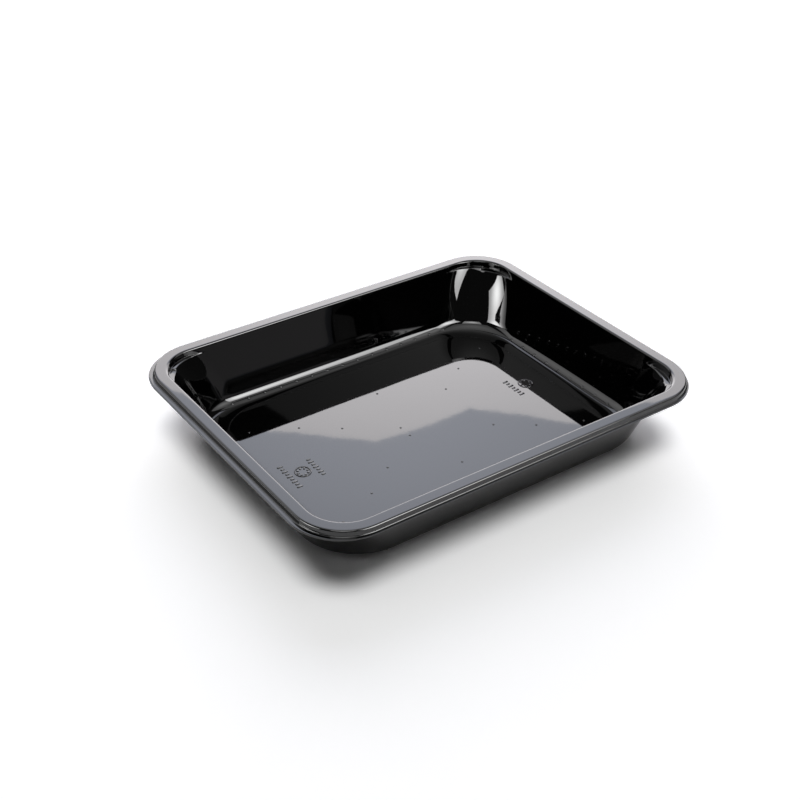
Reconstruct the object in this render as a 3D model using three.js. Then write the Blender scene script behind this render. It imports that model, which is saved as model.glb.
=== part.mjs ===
// An ovenable meal tray, thermoformed from one sheet of crystallised polyester (CPET).
// Millimetres, +Z up, standing on z = 0. The origin is under the middle of the cut outline,
// +X runs along the tray's length and +Y across its width.
import * as THREE from "three";
import { mergeVertices } from "three/addons/utils/BufferGeometryUtils.js";

// Overall sizes, taken over the cut edge of the lip and up to the flange
const trayLength = 227;
const trayWidth = 178;
const trayHeight = 34.5;
const sheet = 0.6;

// Rim: a flat flange that carries the lidding film, a short skirt, and the lip left by the cutter.
// The cutter lands off centre along the length, so the lip is wider at one end.
const lipLeft = 2.9;
const lipRight = 1.1;
const lipSide = 1.8;
const skirtHeight = 2.8;
const skirtLean = THREE.MathUtils.degToRad(10);
const skirtRoot = 0.6;
const flangeWidth = 6.4;
const innerBend = 0.4;
const outerBend = 0.3;
const flangeCorner = 25.4;

// Well: drafted walls, a rounded cove into the floor, and corners that open out downwards
const draft = THREE.MathUtils.degToRad(16);
const cove = 6.2;
const coveCorner = 29.5;
const floorCorner = 32.5;

// Floor: a middle panel that stands a little proud, inside a ring that the tray stands on
const panelLength = 169.4;
const panelWidth = 125.8;
const panelCorner = 25;
const panelRise = 0.35;
const panelRamp = 0.6;

// Denesting recesses: each corner's wall is upright for a short way under the flange, down to a
// ledge. The half towards the tray's end is deeper than the half towards its long side.
const recessAtEnd = 4.2;
const recessAtSide = 3.3;
const ledgeFall = 0.35;
const recessSplit = THREE.MathUtils.degToRad(0.5);

// How finely round shapes are divided
const cornerSteps = 10;
const coveSteps = 5;
const bendSteps = 3;
const rootSteps = 2;
const recessRuns = [2, 4.5];

// The flange's outer face, which every outline but the cut edge follows at a distance
const cutBox = new THREE.Box2(
  new THREE.Vector2(-trayLength / 2, -trayWidth / 2),
  new THREE.Vector2(trayLength / 2, trayWidth / 2),
);
const flangeBox = new THREE.Box2(
  new THREE.Vector2(cutBox.min.x + lipLeft, cutBox.min.y + lipSide),
  new THREE.Vector2(cutBox.max.x - lipRight, cutBox.max.y - lipSide),
);
const panelBox = new THREE.Box2().setFromCenterAndSize(
  flangeBox.getCenter(new THREE.Vector2()),
  new THREE.Vector2(panelLength, panelWidth),
);

// Places in the section, as (distance outside the flange's outer face, height)
const wallAt = (z) => -flangeWidth - (trayHeight - z) * Math.tan(draft);
const coveHeight = sheet + cove;
const coveCentre = new THREE.Vector2(wallAt(coveHeight) - cove / Math.cos(draft), coveHeight);
const coveTop = coveCentre.x + cove * Math.cos(draft);
const innerRadius = innerBend + sheet;
const innerTangent = innerRadius * Math.tan((Math.PI / 2 - draft) / 2);
const innerCentre = new THREE.Vector2(innerTangent - flangeWidth, trayHeight - innerRadius);
const wallTopDepth = innerRadius * (1 - Math.sin(draft));
const outerRadius = outerBend + sheet;
const outerCentre = new THREE.Vector2(-outerRadius, trayHeight - outerRadius);
const lipHeight = trayHeight - skirtHeight;
const rootHeight = lipHeight + skirtRoot;
const skirtRun = (outerCentre.y - rootHeight) / Math.cos(skirtLean)
  + (outerRadius + skirtRoot) * Math.tan(skirtLean);
const rootCentre = new THREE.Vector2(
  outerCentre.x + (outerRadius + skirtRoot) * Math.cos(skirtLean) + skirtRun * Math.sin(skirtLean),
  rootHeight,
);

// Plan radius of the corners at a distance from the flange's outer face. Outlines in the rim are
// parallel. Down the wall the corners open, fastest at the top, and the cove widens them again,
// so that its bend is broader in the corners than along the sides.
function cornerAt(out) {
  if (out >= -flangeWidth) return flangeCorner + out;
  if (out <= coveTop) {
    const across = (coveTop - out) / (coveTop - coveCentre.x);
    return THREE.MathUtils.lerp(coveCorner, floorCorner, across ** 2);
  }
  const down = (-flangeWidth - out) / (-flangeWidth - coveTop);
  return THREE.MathUtils.lerp(flangeCorner - flangeWidth, coveCorner, 1 - (1 - down) ** 3);
}

// A ring of the sheet's skin: the top skin's point and its normal, moved into the sheet by
// the amount that the skin asked for lies under the top one.
function ring(out, z, normalOut, normalUp, under, depth = Infinity) {
  const shift = -under * normalOut;
  return {
    box: flangeBox.clone().expandByScalar(out + shift),
    corner: cornerAt(out) + shift,
    z: z - under * normalUp,
    depth,
    shift,
  };
}

// Rings along an arc of the section, by the direction of its normal from straight up.
// hollow is 1 where the top skin is on the inside of the bend, and -1 on the outside.
function arcRings(centre, radius, hollow, from, to, steps, under) {
  const rings = [];
  for (let i = 0; i <= steps; i++) {
    const tilt = THREE.MathUtils.lerp(from, to, i / steps);
    const normal = new THREE.Vector2(Math.sin(tilt), Math.cos(tilt));
    const point = centre.clone().addScaledVector(normal, -hollow * radius);
    rings.push(ring(point.x, point.y, normal.x, normal.y, under));
  }
  return rings;
}

// The wall ring at a depth under the flange. Under a ledge the sheet is as thick downwards
// as elsewhere, so the underside's ring slides further down the wall.
function wallRing(depth, under) {
  const z = trayHeight - depth - under * (1 - Math.sin(draft));
  return ring(wallAt(z), z, -Math.cos(draft), Math.sin(draft), under, depth);
}

// The floor's middle panel and the foot of its ramp
function panelRings(under) {
  const top = { box: panelBox, corner: panelCorner, z: sheet + panelRise - under };
  const foot = {
    box: panelBox.clone().expandByScalar(panelRamp),
    corner: panelCorner + panelRamp,
    z: sheet - under,
  };
  return [top, foot];
}

// The lip's cut edge, square to the sheet
function cutRing(under) {
  return { box: cutBox, corner: flangeCorner + lipSide, z: lipHeight - under };
}

// One skin of the sheet, ring by ring from the floor out to the cut edge
function skin(under) {
  const wallTilt = draft - Math.PI / 2;
  const skirtTilt = Math.PI / 2 - skirtLean;
  return [
    ...panelRings(under),
    ...arcRings(coveCentre, cove, 1, 0, wallTilt, coveSteps, under),
    wallRing(recessAtEnd + ledgeFall, under),
    wallRing(recessAtEnd, under),
    wallRing(recessAtSide + ledgeFall, under),
    wallRing(recessAtSide, under),
    ...arcRings(innerCentre, innerRadius, -1, wallTilt, 0, bendSteps, under),
    ...arcRings(outerCentre, outerRadius, -1, 0, skirtTilt, bendSteps, under),
    ...arcRings(rootCentre, skirtRoot, 1, skirtTilt, 0, rootSteps, under),
    cutRing(under),
  ];
}

// The stops of one walk round a ring, anticlockwise from the right-hand end: points on each
// corner's arc, and a few on the straights beside it, where the recesses run out.
function stops() {
  const list = [];
  for (let corner = 0; corner < 4; corner++) {
    const start = (corner * Math.PI) / 2;
    const end = start + Math.PI / 2;
    const middle = start + Math.PI / 4;
    for (const run of [...recessRuns].reverse()) list.push({ corner, angle: start, run: -run });
    for (let i = 0; i <= cornerSteps; i++) {
      const angle = THREE.MathUtils.lerp(start, end, i / cornerSteps);
      if (Math.abs(angle - middle) > recessSplit) {
        list.push({ corner, angle, run: 0 });
      } else {
        list.push({ corner, angle: middle - recessSplit, run: 0 });
        list.push({ corner, angle: middle + recessSplit, run: 0 });
      }
    }
    for (const run of recessRuns) list.push({ corner, angle: end, run });
  }
  return list;
}

// The middle of a ring's corner arc. Corners 0 to 3 go anticlockwise from +X +Y.
function cornerCentre({ box, corner: radius }, corner) {
  const right = corner === 0 || corner === 3;
  const back = corner < 2;
  return new THREE.Vector2(
    right ? box.max.x - radius : box.min.x + radius,
    back ? box.max.y - radius : box.min.y + radius,
  );
}

// The recess's upright wall stands under the ring where the wall meets the flange's bend
const recessRing = wallRing(wallTopDepth, 0);

function pointOnRing(ringHere, stop) {
  const centre = cornerCentre(ringHere, stop.corner);
  const across = new THREE.Vector2(Math.cos(stop.angle), Math.sin(stop.angle));
  const along = new THREE.Vector2(-across.y, across.x);
  const point = centre.addScaledVector(across, ringHere.corner).addScaledVector(along, stop.run);
  const towardsEnd = Math.abs(across.x) > Math.abs(across.y);
  if (ringHere.depth <= (towardsEnd ? recessAtEnd : recessAtSide)) {
    const middle = cornerCentre(recessRing, stop.corner);
    const reach = recessRing.corner + ringHere.shift;
    const offset = point.clone().sub(middle);
    if (offset.length() < reach) point.copy(middle).addScaledVector(offset.normalize(), reach);
  }
  return point;
}

// The whole sheet. A lathe of the section gives a closed round dish with the right rings, and
// each ring is then laid on its own rounded rectangle.
function traySheet() {
  const rings = [...skin(sheet), ...skin(0).reverse()];
  const round = stops();
  const halfLength = trayLength / 2;
  const section = rings.map(({ box, z }) => new THREE.Vector2(halfLength + box.max.x, z));
  section.unshift(new THREE.Vector2(0, section[0].y));
  section.push(new THREE.Vector2(0, section[section.length - 1].y));
  const geometry = new THREE.LatheGeometry(section, round.length);
  const position = geometry.getAttribute("position");
  const middle = flangeBox.getCenter(new THREE.Vector2());
  for (let i = 0; i <= round.length; i++) {
    const stop = round[i % round.length];
    for (let j = 0; j < section.length; j++) {
      const ringHere = rings[j - 1];
      const point = ringHere ? pointOnRing(ringHere, stop) : middle;
      position.setXYZ(i * section.length + j, point.x, point.y, section[j].y);
    }
  }
  return closedSolid(geometry);
}

// Joins the seam and the two poles, and drops the triangles that have no area there
function closedSolid(geometry) {
  geometry.deleteAttribute("normal");
  geometry.deleteAttribute("uv");
  const merged = mergeVertices(geometry);
  const index = merged.getIndex();
  const kept = [];
  for (let i = 0; i < index.count; i += 3) {
    const [a, b, c] = [index.getX(i), index.getX(i + 1), index.getX(i + 2)];
    if (a !== b && b !== c && c !== a) kept.push(a, b, c);
  }
  merged.setIndex(kept);
  merged.computeVertexNormals();
  return merged;
}

// Glossy black crystallised polyester
const blackPolyester = new THREE.MeshStandardMaterial({
  color: 0x141416,
  roughness: 0.12,
  metalness: 0,
});

const mealTray = new THREE.Group();
const tray = new THREE.Mesh(traySheet(), blackPolyester);
tray.name = "tray";
mealTray.add(tray);

export default mealTray;
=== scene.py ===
# %% [markdown]
# # An ovenable meal tray
#
# The object is one sheet of black crystallised polyester (CPET) that was heated and drawn into a
# mould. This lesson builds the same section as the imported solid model, with a finer surface:
# round bends, vent pips, tool marks and a glossy skin that mirrors the lights. Everything is in
# metres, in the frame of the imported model.

# %% Load the frame
from collections import namedtuple
from math import asin, atan2, cos, inf, pi, radians, sin, tan

import bmesh
import bpy
from mathutils import Matrix, Vector


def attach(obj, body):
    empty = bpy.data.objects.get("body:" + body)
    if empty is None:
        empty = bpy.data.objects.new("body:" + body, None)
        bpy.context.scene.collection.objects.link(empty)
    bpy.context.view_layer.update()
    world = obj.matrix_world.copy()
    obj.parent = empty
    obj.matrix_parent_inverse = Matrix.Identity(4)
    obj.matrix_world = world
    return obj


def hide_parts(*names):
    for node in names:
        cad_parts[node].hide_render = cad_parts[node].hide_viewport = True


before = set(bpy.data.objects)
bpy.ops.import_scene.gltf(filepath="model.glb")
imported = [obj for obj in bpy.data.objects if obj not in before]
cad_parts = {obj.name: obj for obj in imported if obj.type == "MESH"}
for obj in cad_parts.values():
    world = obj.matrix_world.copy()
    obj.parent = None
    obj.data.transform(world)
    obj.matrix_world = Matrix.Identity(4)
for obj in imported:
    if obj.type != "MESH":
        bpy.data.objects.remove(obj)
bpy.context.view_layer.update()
mm = 0.001
scene = bpy.context.scene
scene.view_settings.view_transform = "Standard"

# %% [markdown]
# ## The sizes of the tray
#
# A tray like this is drawn as one section that runs round four corners. The sizes below are the
# ones that such a drawing would give: the outline, the height, the sheet, the rim's bends, the
# draft of the wall and the radius of the cove. Every other place is worked out from them.
# The denesting recesses are cut upright into the corners of the wall, so that stacked trays
# stand on each other's ledges and don't wedge.

# %% Driving sizes
tray_length = 227 * mm
tray_width = 178 * mm
tray_height = 34.5 * mm
sheet = 0.6 * mm

lip_left = 2.9 * mm
lip_right = 1.1 * mm
lip_side = 1.8 * mm
skirt_height = 2.8 * mm
skirt_lean = radians(10)
skirt_root = 0.6 * mm
flange_width = 6.4 * mm
inner_radius = 1.0 * mm
outer_radius = 0.9 * mm
flange_corner = 25.4 * mm

draft = radians(16)
cove = 6.2 * mm
cove_corner = 29.5 * mm
floor_corner = 32.5 * mm

panel_length = 169.4 * mm
panel_width = 125.8 * mm
panel_corner = 25 * mm
panel_rise = 0.35 * mm
panel_ramp = 0.6 * mm

recess_at_end = 4.2 * mm
recess_at_side = 3.3 * mm
ledge_fall = 0.35 * mm

flange_half = Vector((tray_length - lip_left - lip_right, tray_width - 2 * lip_side)) / 2
cut_half = Vector((tray_length, tray_width)) / 2
panel_half = Vector((panel_length, panel_width)) / 2
middle_x = (lip_left - lip_right) / 2
print("flange, half sizes:", flange_half[:], "middle at x =", middle_x)

# %% [markdown]
# ## The section, ring by ring
#
# The section is a chain of straight stretches and arcs. Each point of it becomes a ring round
# the tray, and each ring is a rounded rectangle with its own corner radius: rings in the rim are
# parallel. Down the wall the corners open, fastest at the top, and the cove widens them again, so
# that its bend is broader in the corners than along the sides.
# Rings stand close together on each side of a bend. A subdivision surface pulls a corner in
# between its neighbours, so close neighbours keep the bend tight, as the mould does.

# %% Places in the section
def wall_at(z):
    return -flange_width - (tray_height - z) * tan(draft)


cove_height = sheet + cove
cove_centre = Vector((wall_at(cove_height) - cove / cos(draft), cove_height))
cove_top = cove_centre.x + cove * cos(draft)
inner_tangent = inner_radius * tan((pi / 2 - draft) / 2)
inner_centre = Vector((inner_tangent - flange_width, tray_height - inner_radius))
outer_centre = Vector((-outer_radius, tray_height - outer_radius))
lip_height = tray_height - skirt_height
root_height = lip_height + skirt_root
skirt_run = (outer_centre.y - root_height) / cos(skirt_lean)
skirt_run += (outer_radius + skirt_root) * tan(skirt_lean)
root_out = (outer_radius + skirt_root) * cos(skirt_lean) + skirt_run * sin(skirt_lean)
root_centre = Vector((outer_centre.x + root_out, root_height))
print("cove's centre:", cove_centre[:], "skirt root's centre:", root_centre[:])

# %% Rings of the section
Ring = namedtuple("Ring", "half corner z depth", defaults=(inf,))
panel_steps = ((-2, 1), (-0.3, 1), (0.3, 0.8), (0.7, 0.2), (1.3, 0), (2.5, 0))
cove_steps = 9
wall_shares = (0.3, 0.6, 0.85)
ledge_shares = (0, 0.16, 0.84, 1)
wall_edge = 0.2 * mm
bend_guard = 1.6 * mm
bend_steps = 5
flat_edge = 0.4 * mm
root_steps = 4


def corner_at(out):
    if out >= -flange_width:
        return flange_corner + out
    if out <= cove_top:
        across = (cove_top - out) / (cove_top - cove_centre.x)
        return cove_corner + (floor_corner - cove_corner) * across ** 2
    down = (-flange_width - out) / (-flange_width - cove_top)
    opened = 1 - (1 - down) ** 3
    return (flange_corner - flange_width) * (1 - opened) + cove_corner * opened


def ring_at(out, z, depth=inf):
    """The ring that lies this far outside the flange's outer face."""
    return Ring(flange_half + Vector((out, out)), corner_at(out), z, depth)


def panel_ring(out, z):
    return Ring(panel_half + Vector((out, out)), panel_corner + out, z)


def arc_rings(centre, radius, hollow, start, end, steps):
    """Rings along a bend, by its normal's tilt from upright, in a hollow (1) or over a crest (-1)."""
    rings = []
    for i in range(steps + 1):
        tilt = start + (end - start) * i / steps
        out = centre.x - hollow * radius * sin(tilt)
        rings.append(ring_at(out, centre.y - hollow * radius * cos(tilt)))
    return rings


def wall_ring(depth):
    z = tray_height - depth
    return ring_at(wall_at(z), z, depth)


def ledge_rings(depth):
    ledge = [depth + share * ledge_fall for share in ledge_shares]
    return [wall_ring(stop) for stop in (depth - wall_edge, *ledge, depth + ledge_fall + wall_edge)]


def section_rings():
    wall_tilt = draft - pi / 2
    skirt_tilt = pi / 2 - skirt_lean
    wall_foot = tray_height - cove_height
    wall_head = recess_at_end + 3 * ledge_fall
    rings = [panel_ring(run * panel_ramp, sheet + rise * panel_rise) for run, rise in panel_steps]
    rings += arc_rings(cove_centre, cove, 1, 0, wall_tilt, cove_steps)
    rings += [wall_ring(wall_foot + (wall_head - wall_foot) * share) for share in wall_shares]
    rings += reversed(ledge_rings(recess_at_end))
    rings += reversed(ledge_rings(recess_at_side))
    rings.append(wall_ring(bend_guard))
    rings += arc_rings(inner_centre, inner_radius, -1, wall_tilt, 0, bend_steps)
    rings.append(ring_at(inner_centre.x + flat_edge, tray_height))
    rings.append(ring_at(outer_centre.x - flat_edge, tray_height))
    rings += arc_rings(outer_centre, outer_radius, -1, 0, skirt_tilt, bend_steps)
    rings += arc_rings(root_centre, skirt_root, 1, skirt_tilt, 0, root_steps)
    rings.append(Ring(cut_half, flange_corner + lip_side, lip_height))
    return rings


rings = section_rings()
print("rings:", len(rings), "from z =", rings[0].z, "to z =", max(ring.z for ring in rings))

# %% [markdown]
# ## One corner, spun
#
# A corner of the tray is nearly a turned shape. The section is set up as a chain of edges, each
# point as far from the Z axis as its ring's corner radius, and Spin sweeps it through 90 degrees.
# The sweep is made in stretches: long steps over most of the corner, and short ones near its
# middle, where the deep half of the denesting recess stops against the shallow half.
# Each ring of the corner is then moved out to its own centre, and its open ends are extruded
# along the straight sides to the tray's middle planes. The recess is opened last: points of the
# wall above a ledge are pushed out to the cylinder that hangs under the flange's inner bend.

# %% The denesting recess
def recess_share(depth, across):
    """1 on the recess's upright wall, 0 on the plain wall, and between them on the ledge."""
    towards_end = abs(across.x) > abs(across.y)
    recess = recess_at_end if towards_end else recess_at_side
    return min(1, max(0, 1 - (depth - recess) / ledge_fall))


def corner_centre(ring):
    return ring.half - Vector((ring.corner, ring.corner))


def open_recess(bm, ring_layer, turn_layer):
    """Pushes the wall above each ledge out to the recess's upright wall."""
    top = wall_ring(inner_radius * (1 - sin(draft)))
    centre = corner_centre(top)
    for vert in bm.verts:
        ring = rings[vert[ring_layer]]
        across = Vector((cos(vert[turn_layer]), sin(vert[turn_layer])))
        share = recess_share(ring.depth, across)
        offset = vert.co.xy - centre
        if share and offset.length < top.corner:
            pushed = centre + offset.normalized() * top.corner
            vert.co.xy = vert.co.xy.lerp(pushed, share)


print("recess, at the end and at the side:", recess_at_end, recess_at_side)

# %% The straight sides
recess_runs = (2 * mm, 2.5 * mm, 4 * mm)
straight_cuts = 5


def grow_edges(bm, edges):
    """Extrudes a chain of edges, and gives the new points and the new chain."""
    grown = bmesh.ops.extrude_edge_only(bm, edges=edges)["geom"]
    verts = [item for item in grown if isinstance(item, bmesh.types.BMVert)]
    edges = [item for item in grown if isinstance(item, bmesh.types.BMEdge)]
    return verts, [edge for edge in edges if all(vert in verts for vert in edge.verts)]


def run_straight(bm, edges, along):
    """Short runs beside the corner, then one long run that is laid flat on the middle plane."""
    for run in recess_runs:
        verts, edges = grow_edges(bm, edges)
        bmesh.ops.translate(bm, verts=verts, vec=along * run)
    verts, edges = grow_edges(bm, edges)
    flat = Vector((1 - abs(along.x), 1 - abs(along.y), 1))
    bmesh.ops.scale(bm, verts=verts, vec=flat)
    crossing = [(vert, edge) for vert in verts for edge in vert.link_edges]
    long_edges = [edge for vert, edge in crossing if edge.other_vert(vert) not in verts]
    bmesh.ops.subdivide_edges(bm, edges=long_edges, cuts=straight_cuts)


print("runs beside each corner:", recess_runs)

# %% One corner
corner_sweeps = ((38, 10), (4.6, 2), (1.6, 1), (1.6, 1), (4.6, 2), (39.6, 10))


def corner_skin(bm):
    ring_layer = bm.verts.layers.int.new("ring")
    turn_layer = bm.verts.layers.float.new("turn")
    chain = [bm.verts.new((ring.corner, 0, ring.z)) for ring in rings]
    for index, vert in enumerate(chain):
        vert[ring_layer] = index
    first = [bm.edges.new(pair) for pair in zip(chain, chain[1:])]
    last = chain + first
    for degrees, steps in corner_sweeps:
        spun = bmesh.ops.spin(bm, geom=last, angle=radians(degrees), steps=steps, axis=(0, 0, 1))
        last = spun["geom_last"]
    for vert in bm.verts:
        vert[turn_layer] = atan2(vert.co.y, vert.co.x)
        vert.co.xy += corner_centre(rings[vert[ring_layer]])
    last_edges = [item for item in last if isinstance(item, bmesh.types.BMEdge)]
    run_straight(bm, first, Vector((0, -1, 0)))
    run_straight(bm, last_edges, Vector((-1, 0, 0)))
    open_recess(bm, ring_layer, turn_layer)


bm = bmesh.new()
corner_skin(bm)
print("corner:", len(bm.verts), "vertices,", len(bm.faces), "faces")

# %% [markdown]
# ## Four corners, a floor and a thickness
#
# Two mirrors make the other three corners. The floor's panel is one flat face inside the first
# ring. Solidify gives the sheet its 0.6 mm downwards, because the sizes above are those of the
# upper skin, and a fine Bevel breaks the edge that the cutter leaves.

# %% The whole tray
skin_levels = 1
seam_gap = 0.001 * mm
sharp_bend = radians(50)
square_edge = radians(60)
edge_break = 0.08 * mm


def whole_skin(bm):
    for axis in "XY":
        everything = bm.verts[:] + bm.edges[:] + bm.faces[:]
        bmesh.ops.mirror(bm, geom=everything, matrix=Matrix(), merge_dist=seam_gap, axis=axis)
    bmesh.ops.translate(bm, verts=bm.verts, vec=(middle_x, 0, 0))
    ring_layer = bm.verts.layers.int["ring"]
    cut_ring = [vert for vert in bm.verts if vert[ring_layer] == len(rings) - 1]
    bmesh.ops.translate(bm, verts=cut_ring, vec=(-middle_x, 0, 0))
    open_edges = [edge for edge in bm.edges if edge.is_boundary]
    lowest_ring = [edge for edge in open_edges if edge.verts[0].co.z < lip_height / 2]
    bmesh.ops.contextual_create(bm, geom=lowest_ring)
    bmesh.ops.recalc_face_normals(bm, faces=bm.faces)
    floor_face = max(bm.faces, key=lambda face: face.calc_area())
    if floor_face.normal.z < 0:
        bmesh.ops.reverse_faces(bm, faces=bm.faces)


def finished(name, bm, *modifiers):
    """A piece with its modifiers applied, smooth but for its sharp edges."""
    mesh = bpy.data.meshes.new(name)
    bm.to_mesh(mesh)
    bm.free()
    piece = bpy.data.objects.new(name, mesh)
    scene.collection.objects.link(piece)
    for kind, settings in modifiers:
        modifier = piece.modifiers.new(kind.title(), kind)
        for key, value in settings.items():
            setattr(modifier, key, value)
    graph = bpy.context.evaluated_depsgraph_get()
    solid = bpy.data.meshes.new_from_object(piece.evaluated_get(graph))
    piece.modifiers.clear()
    piece.data = solid
    solid.shade_smooth()
    solid.set_sharp_from_angle(angle=sharp_bend)
    print(name, "has", len(solid.polygons), "faces")
    return piece


whole_skin(bm)
smooth = {"levels": skin_levels, "render_levels": skin_levels, "boundary_smooth": "ALL"}
thick = {"thickness": sheet, "offset": -1, "use_even_offset": True, "use_quality_normals": True}
broken = {"width": edge_break, "segments": 2, "limit_method": "ANGLE", "angle_limit": square_edge}
sheet_piece = finished("formed_sheet", bm, ("SUBSURF", smooth), ("SOLIDIFY", thick), ("BEVEL", broken))

# %% [markdown]
# ## Vent pips
#
# The mould draws the air out from under the sheet through rows of fine holes. The hot sheet is
# drawn a little way into each hole, which leaves a pip. A pip stands every 9.8 mm along the foot
# of the wall, and a few single ones lie on the floor. Each pip is a low dome: an icosphere
# pressed flat, set into the skin and turned to the slope that it sits on, with a smaller one
# on the underside of the sheet. A dome is given by its radius and its rise.

# %% Vent pips
pip_pitch = 9.8 * mm
cove_dome = (0.95 * mm, 0.6 * mm)
floor_dome = (0.6 * mm, 0.3 * mm)
nub = (0.3 * mm, 0.25 * mm)
pip_inset = 17.5 * mm
side_pips = 7
end_pips = 4
corner_pips = ((74, 43), (51, 32.5), (33, 20))
middle_pips = ((0, 36.5), (-8, 4))
upward = Vector((0, 0, 1))


def set_pip(bm, point, normal, dome):
    turn = upward.rotation_difference(normal).to_matrix().to_4x4()
    for radius, rise, depth in ((*dome, 0), (*nub, sheet)):
        place = Matrix.Translation(point - normal * depth)
        press = Matrix.Diagonal((1, 1, rise / radius, 1))
        bmesh.ops.create_icosphere(bm, subdivisions=2, radius=radius, matrix=place @ turn @ press)


def cove_pip(bm, x, y, outward):
    """A pip on the cove, square to its slope. outward points to the wall that it lies under."""
    tilt = asin((-pip_inset - cove_centre.x) / cove)
    point = Vector((x + middle_x, y, cove_centre.y - cove * cos(tilt)))
    set_pip(bm, point, upward * cos(tilt) - Vector(outward) * sin(tilt), cove_dome)


bm = bmesh.new()
for sign in (1, -1):
    for k in range(-side_pips, side_pips + 1):
        cove_pip(bm, k * pip_pitch, sign * (flange_half.y - pip_inset), (0, sign, 0))
    for k in range(-end_pips, end_pips + 1):
        cove_pip(bm, sign * (flange_half.x - pip_inset), k * pip_pitch, (sign, 0, 0))
panel_top = sheet + panel_rise
mirrored_pips = [(-x, y) for x, y in corner_pips]
for x, y in (*corner_pips, *mirrored_pips, *middle_pips):
    for sign in (1, -1):
        set_pip(bm, Vector((x * mm + middle_x, sign * y * mm, panel_top)), upward, floor_dome)
pips_piece = finished("vent_pips", bm)

# %% [markdown]
# ## Tool marks
#
# The mould of such a tray carries small raised marks in the floor. These are plain ones: a ring
# with ticks and scales of short bars, as on a tool's setting dial. Each bar is a cube stretched
# and bevelled all round, and the ring is a small circle turned about the dial's middle.

# %% Tool marks
stroke = 0.9 * mm
mark_rise = 0.3 * mm
scale_pitch = 2.3 * mm
tick_place = 0.68
tick_length = 0.3
mark_round = 0.12 * mm
left_dial = Vector((-69, 0)) * mm
right_dial = Vector((69, 0.7)) * mm


def mark_bar(bm, centre, length, angle):
    place = Matrix.Translation((centre.x + middle_x, centre.y, panel_top))
    size = Matrix.Diagonal((length, stroke, 2 * mark_rise, 1))
    bmesh.ops.create_cube(bm, size=1, matrix=place @ Matrix.Rotation(angle, 4, "Z") @ size)


def mark_ring(bm, centre, radius):
    start = Vector((centre.x + middle_x, centre.y, panel_top))
    turn = Matrix.Translation(start + Vector((radius, 0, 0))) @ Matrix.Rotation(pi / 2, 4, "X")
    press = Matrix.Diagonal((stroke / 2, mark_rise, 1, 1))
    rim = bmesh.ops.create_circle(bm, segments=8, radius=1, matrix=turn @ press)["verts"]
    edges = list(dict.fromkeys(edge for vert in rim for edge in vert.link_edges))
    bmesh.ops.spin(
        bm, geom=rim + edges, cent=start, axis=(0, 0, 1), angle=2 * pi, steps=40, use_merge=True,
    )


def mark_dial(bm, centre, radius, ticks):
    mark_ring(bm, centre, radius)
    for i in range(ticks):
        angle = 2 * pi * i / ticks
        outward = Vector((cos(angle), sin(angle)))
        mark_bar(bm, centre + outward * radius * tick_place, radius * tick_length, angle)


def mark_scale(bm, centre, lengths):
    """A row of bars across the tray, each of its own length in millimetres."""
    for i, length in enumerate(lengths):
        step = (i - (len(lengths) - 1) / 2) * scale_pitch
        mark_bar(bm, centre + Vector((0, step)), length * mm, 0)


bm = bmesh.new()
mark_dial(bm, left_dial, radius=3.9 * mm, ticks=8)
mark_scale(bm, left_dial + Vector((-7.4, 0)) * mm, (3, 2, 3, 2, 3, 2, 3, 2, 3))
mark_scale(bm, left_dial + Vector((7.4, 0)) * mm, (2, 3, 2, 3, 2, 3, 2))
mark_dial(bm, right_dial + Vector((2.8, 0)) * mm, radius=3.8 * mm, ticks=6)
mark_scale(bm, right_dial + Vector((-5.4, 0)) * mm, (3, 2, 3, 2, 3, 2, 3))
bmesh.ops.recalc_face_normals(bm, faces=bm.faces)
rounded = {"width": mark_round, "segments": 2, "limit_method": "ANGLE", "angle_limit": square_edge}
marks_piece = finished("tool_marks", bm, ("BEVEL", rounded))

# %% [markdown]
# ## The finish
#
# CPET comes out of a polished mould with a glossy skin, and the black is in the resin. What the
# eye reads is therefore the reflection: nearly all of the surface is black, and the light comes
# off it as off dark glass. The sheet isn't optically flat. It keeps a slow ripple from the way
# it cooled, a few hundredths of a millimetre over some centimetres, and a fine unevenness that
# softens the mirror. Noise in Object coordinates gives both, through Bump.

# %% Helpers for materials
def linear(hex_code):
    channels = [int(hex_code[i:i + 2], 16) / 255 for i in (1, 3, 5)]
    bent = [c / 12.92 if c <= 0.04045 else ((c + 0.055) / 1.055) ** 2.4 for c in channels]
    return (*bent, 1)


def add_node(tree, kind, settings=None, **links):
    """A node with its settings and inputs set, and the sockets linked that are given by name."""
    node = tree.nodes.new(kind)
    for key, value in (settings or {}).items():
        if hasattr(node, key):
            setattr(node, key, value)
        else:
            node.inputs[key].default_value = value
    for key, socket in links.items():
        tree.links.new(socket, node.inputs[key.replace("_", " ")])
    return node


def new_material(name):
    material = bpy.data.materials.new(name)
    material.use_nodes = True
    material.node_tree.nodes.clear()
    return material, material.node_tree


print("black #070708 in linear light:", linear("#070708"))

# %% Thermoformed CPET
ripple_length = 45 * mm
ripple_depth = 0.06 * mm
grain_length = 4 * mm
grain_depth = 0.002 * mm


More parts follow.
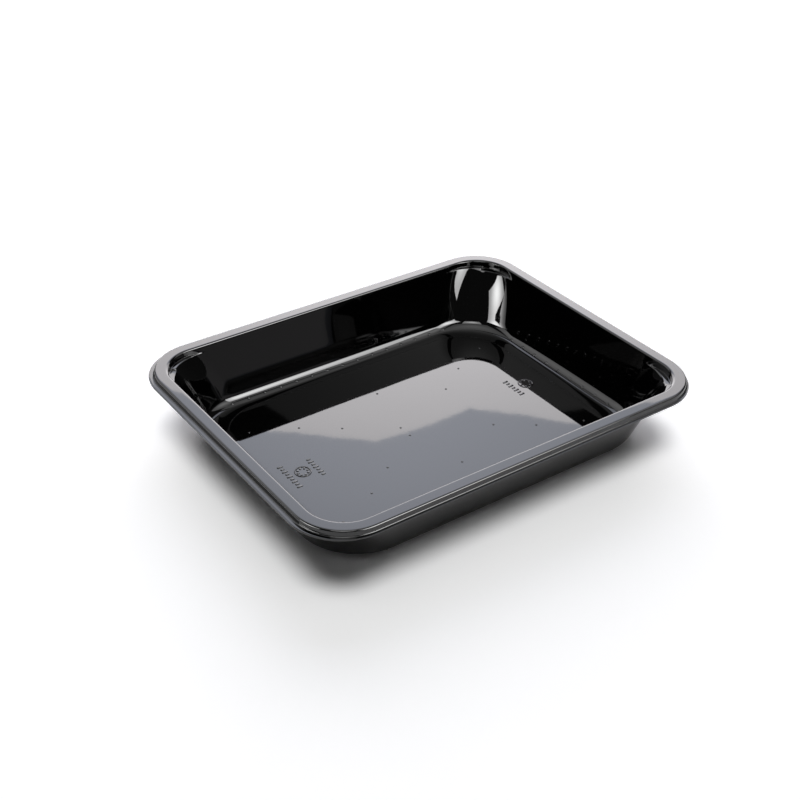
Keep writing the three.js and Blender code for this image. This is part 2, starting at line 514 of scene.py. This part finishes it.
def formed_polyester():
    material, tree = new_material("thermoformed_black_cpet")
    place = add_node(tree, "ShaderNodeTexCoord").outputs["Object"]
    ripple = add_node(
        tree, "ShaderNodeTexNoise", {"Scale": 1 / ripple_length, "Detail": 1.0}, Vector=place,
    )
    grain = add_node(
        tree, "ShaderNodeTexNoise", {"Scale": 1 / grain_length, "Detail": 3.0}, Vector=place,
    )
    slow = add_node(
        tree, "ShaderNodeBump", {"Strength": 1.0, "Distance": ripple_depth},
        Height=ripple.outputs["Fac"],
    )
    fine = add_node(
        tree, "ShaderNodeBump", {"Strength": 1.0, "Distance": grain_depth},
        Height=grain.outputs["Fac"], Normal=slow.outputs["Normal"],
    )
    gloss = add_node(
        tree, "ShaderNodeMapRange", {"To Min": 0.02, "To Max": 0.04}, Value=grain.outputs["Fac"],
    )
    tint = add_node(tree, "ShaderNodeValToRGB", Fac=ripple.outputs["Fac"])
    tint.color_ramp.elements[0].color = linear("#040404")
    tint.color_ramp.elements[1].color = linear("#070708")
    surface = add_node(
        tree, "ShaderNodeBsdfPrincipled", {"IOR": 1.57, "Metallic": 0.0},
        Base_Color=tint.outputs["Color"], Roughness=gloss.outputs["Result"],
        Normal=fine.outputs["Normal"],
    )
    add_node(tree, "ShaderNodeOutputMaterial", Surface=surface.outputs["BSDF"])
    return material


polyester = formed_polyester()
for piece in (sheet_piece, pips_piece, marks_piece):
    piece.data.materials.clear()
    piece.data.materials.append(polyester)
    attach(piece, "root")
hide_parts("tray")
print("material:", polyester.name, "on 3 pieces")

# %% [markdown]
# ## The floor
#
# The floor is a plain white board. Where it is seen or mirrored it glows a little as well, which lifts
# it to white.
# The glow is held back under and next to the tray, which paints shade round the tray's foot on top of
# the soft shadow that the tray throws. The glow starts 16 mm inside the tray's outline and is full 2
# mm outside it, so that the outer walls mirror a floor in painted shade.

# %% Where the floor glows
glow_start = 16 * mm
glow_reach = 2 * mm
glow_strength = 0.52


def seen_ray(tree):
    """1 for rays from the camera, and for mirrored or refracted ones, and 0 for all others."""
    path = add_node(tree, "ShaderNodeLightPath").outputs
    seen = path["Is Camera Ray"]
    for other in ("Is Glossy Ray", "Is Transmission Ray"):
        both = add_node(tree, "ShaderNodeMath", {"operation": "ADD", "use_clamp": True})
        tree.links.new(seen, both.inputs[0])
        tree.links.new(path[other], both.inputs[1])
        seen = both.outputs["Value"]
    return seen


def from_tray(tree, place):
    """How far a point of the floor lies outside the rectangle of the outline's corner centres."""
    corner = cut_half - Vector((flange_corner, flange_corner))
    mirrored = add_node(tree, "ShaderNodeVectorMath", {"operation": "ABSOLUTE"})
    inset = add_node(tree, "ShaderNodeVectorMath", {"operation": "SUBTRACT"})
    beside = add_node(tree, "ShaderNodeVectorMath", {"operation": "MAXIMUM"})
    away = add_node(tree, "ShaderNodeVectorMath", {"operation": "LENGTH"})
    tree.links.new(place, mirrored.inputs[0])
    tree.links.new(mirrored.outputs["Vector"], inset.inputs[0])
    tree.links.new(inset.outputs["Vector"], beside.inputs[0])
    tree.links.new(beside.outputs["Vector"], away.inputs[0])
    inset.inputs[1].default_value = (*corner, 1)
    beside.inputs[1].default_value = (0, 0, 0)
    return away.outputs["Value"]


print("the floor's glow starts", glow_start, "inside the outline and is full", glow_reach, "outside")

# %% Floor
floor_size = 8
floor_drop = 0.05 * mm


def pale_floor():
    material, tree = new_material("white_board_glow_painted_shade")
    place = add_node(tree, "ShaderNodeTexCoord").outputs["Object"]
    cloud = add_node(tree, "ShaderNodeTexNoise", {"Scale": 2.0, "Detail": 2.0}, Vector=place)
    tint = add_node(tree, "ShaderNodeValToRGB", Fac=cloud.outputs["Fac"])
    tint.color_ramp.elements[0].color = linear("#fbfbfb")
    tint.color_ramp.elements[1].color = linear("#fefefe")
    # No glow under and next to the tray: painted shade round its foot, added to the real shadow.
    glow = add_node(
        tree, "ShaderNodeMapRange",
        {
            "interpolation_type": "SMOOTHSTEP", "From Min": flange_corner - glow_start,
            "From Max": flange_corner + glow_reach, "To Max": glow_strength,
        },
        Value=from_tray(tree, place),
    )
    shown = add_node(tree, "ShaderNodeMath", {"operation": "MULTIPLY"})
    tree.links.new(glow.outputs["Result"], shown.inputs[0])
    tree.links.new(seen_ray(tree), shown.inputs[1])
    surface = add_node(
        tree, "ShaderNodeBsdfPrincipled",
        {"Roughness": 0.9, "Specular IOR Level": 0.1, "Emission Color": linear("#ffffff")},
        Base_Color=tint.outputs["Color"], Emission_Strength=shown.outputs["Value"],
    )
    add_node(tree, "ShaderNodeOutputMaterial", Surface=surface.outputs["BSDF"])
    return material


bm = bmesh.new()
bmesh.ops.create_grid(bm, x_segments=4, y_segments=4, size=floor_size / 2)
bmesh.ops.translate(bm, verts=bm.verts, vec=(0, 0, -floor_drop))
floor = finished("studio_floor", bm)
floor.data.materials.append(pale_floor())

# %% [markdown]
# ## The diffusers beyond the tray
#
# A glossy black tray shows its lights more than itself. Seen from here, the tray's own floor
# mirrors what stands beyond it, 32 to 38 degrees up. So a bright diffuser stands there, with a
# dimmer and cooler one over it, and their common hem is the line that crosses the tray's floor.
# Each is an emitter that fades from its middle, as a lamp behind a cloth does.

# %% Glowing cards
def glowing(name, hex_code, glow, centre, reach):
    """An emitter whose strength falls from its middle outwards. glow gives both strengths."""
    middle, edge = glow
    material, tree = new_material(name)
    place = add_node(tree, "ShaderNodeTexCoord").outputs["Object"]
    away = add_node(tree, "ShaderNodeVectorMath", {"operation": "DISTANCE"})
    tree.links.new(place, away.inputs[0])
    away.inputs[1].default_value = centre
    falloff = add_node(
        tree, "ShaderNodeMapRange",
        {"interpolation_type": "SMOOTHSTEP", "From Max": reach, "To Min": middle, "To Max": edge},
        Value=away.outputs["Value"],
    )
    light = add_node(
        tree, "ShaderNodeEmission", {"Color": linear(hex_code)}, Strength=falloff.outputs["Result"],
    )
    add_node(tree, "ShaderNodeOutputMaterial", Surface=light.outputs["Emission"])
    return material


def light_card(name, corners, material, lights_floor):
    """A flat emitter. It shows in the gloss, and lights matt surfaces only if lights_floor says so."""
    bm = bmesh.new()
    for corner in corners:
        bm.verts.new(corner)
    bmesh.ops.contextual_create(bm, geom=bm.verts)
    card = finished(name, bm)
    card.data.materials.append(material)
    card.visible_diffuse = lights_floor


print("white in linear light:", linear("#ffffff"))

# %% Diffusers
view_azimuth = radians(-35.357)
beyond = Vector((-sin(view_azimuth), cos(view_azimuth), 0))
sideways = Vector((cos(view_azimuth), sin(view_azimuth), 0))
diffuser_distance = 1.5
diffuser_left = -0.9
diffuser_right = 0.95
diffuser_foot = 0.06
diffuser_top = 2.0
hem = [
    (diffuser_left, 0.97), (-0.206, 1.056), (-0.027, 1.078),
    (0.151, 0.993), (0.349, 1.024), (diffuser_right, 1.10),
]


def beyond_tray(side, height):
    return beyond * diffuser_distance + sideways * side + Vector((0, 0, height))


def diffuser(name, far_edge, hex_code, glow, centre_height, reach):
    """A card between the hem and a level edge, either under the hem or over it."""
    points = hem + [(diffuser_right, far_edge), (diffuser_left, far_edge)]
    material = glowing(name, hex_code, glow, beyond_tray(0, centre_height), reach)
    light_card(name, [beyond_tray(*point) for point in points], material, lights_floor=True)


diffuser("bright_diffuser", diffuser_foot, "#fffcff", (5.4, 3.0), centre_height=0.75, reach=1.1)
diffuser("cool_diffuser", diffuser_top, "#eef2ff", (3.4, 1.9), centre_height=1.1, reach=0.9)

# %% [markdown]
# ## Soft boxes
#
# The bright strips in the coves and in the far corner mirror two soft boxes, one to the right in
# front and one to the left. Dimmer scrims beyond them carry the light on round the bends. A soft
# box high over the camera gives the far corner's foot its patch, and one overhead fills the rest.
# They show in the gloss only.

# %% Soft boxes
tray_middle = Vector((0, 0, 0.02))


def direction(azimuth, elevation):
    """From the tray towards a compass bearing (0 is +Y, 90 is +X) and a height in degrees."""
    bearing, rise = radians(azimuth), radians(elevation)
    return Vector((sin(bearing) * cos(rise), cos(bearing) * cos(rise), sin(rise)))


def soft_box(name, azimuth, elevation, distance, size, glow):
    """A flat emitter that faces the tray, with its width and height, by bearing and elevation."""
    width, height = size
    centre = tray_middle + direction(azimuth, elevation) * distance
    across = direction(azimuth + 90, 0) * width / 2
    lift = direction(azimuth, elevation + 90) * height / 2
    lower = [centre - across - lift, centre + across - lift]
    upper = [centre + across + lift, centre - across + lift]
    material = glowing(name, "#ffffff", glow, centre, reach=max(size) / 2)
    light_card(name, lower + upper, material, lights_floor=False)


soft_box("right_softbox", 160, 33, 1.2, size=(0.88, 0.78), glow=(16, 8))
soft_box("right_scrim", 118, 42, 1.3, size=(1.0, 0.92), glow=(2.4, 1.0))
soft_box("far_left_scrim", -37, 32, 1.7, size=(1.7, 1.4), glow=(1.7, 1.2))
soft_box("camera_side_softbox", -141, 61, 1.1, size=(0.55, 0.5), glow=(7, 3))
soft_box("left_softbox", -86, 19.5, 1.0, size=(0.66, 0.31), glow=(18, 6))
soft_box("top_softbox", 35, 80, 1.2, size=(1.1, 1.1), glow=(1.4, 0.8))

# %% [markdown]
# ## Light for the floor
#
# A wide sun lights the white floor evenly, and gives the tray its soft shadow. The gloss doesn't
# see it, because a black mirror would show it as a disc. The room is nearly dark, so that what
# mirrors no lamp stays black.

# %% Sun and room
sun_strength = 2.0
room_strength = 0.05
overhead_data = bpy.data.lights.new("overhead", "SUN")
overhead_data.energy = sun_strength
overhead_data.angle = radians(60)
overhead = bpy.data.objects.new("overhead", overhead_data)
overhead.visible_glossy = False
scene.collection.objects.link(overhead)

world = bpy.data.worlds.new("dim_studio")
world.use_nodes = True
backdrop = world.node_tree.nodes["Background"]
backdrop.inputs["Color"].default_value = (1, 1, 1, 1)
backdrop.inputs["Strength"].default_value = room_strength
scene.world = world
print("sun at", sun_strength, "and room at", room_strength)

# %% [markdown]
# ## The camera
#
# The tray's outline is known, so the camera can be worked out from where its corners and edges
# fall in the picture: a 58 mm lens on a 36 mm frame, 34 degrees up, from the corner between the
# left end and the near side. The small shift is the picture's crop.

# %% Camera
view_elevation = radians(33.849)
view_roll = radians(0.877)
view_distance = 0.67168
view_target = Vector((-0.00413, 0.02603, 0))

toward_camera = Vector((
    sin(view_azimuth) * cos(view_elevation),
    -cos(view_azimuth) * cos(view_elevation),
    sin(view_elevation),
))
level_right = Vector((0, 0, 1)).cross(toward_camera).normalized()
level_up = toward_camera.cross(level_right)
right = level_right * cos(view_roll) + level_up * sin(view_roll)
up = level_up * cos(view_roll) - level_right * sin(view_roll)
camera_data = bpy.data.cameras.new("camera")
camera_data.sensor_width = 36
camera_data.lens = 58.02
camera_data.shift_x = 0.0241
camera_data.shift_y = 0.0093
camera = bpy.data.objects.new("camera", camera_data)
turn = Matrix((right, up, toward_camera)).transposed().to_4x4()
camera.matrix_world = Matrix.Translation(view_target + toward_camera * view_distance) @ turn
scene.collection.objects.link(camera)
scene.camera = camera
print("camera at", camera.matrix_world.translation[:])
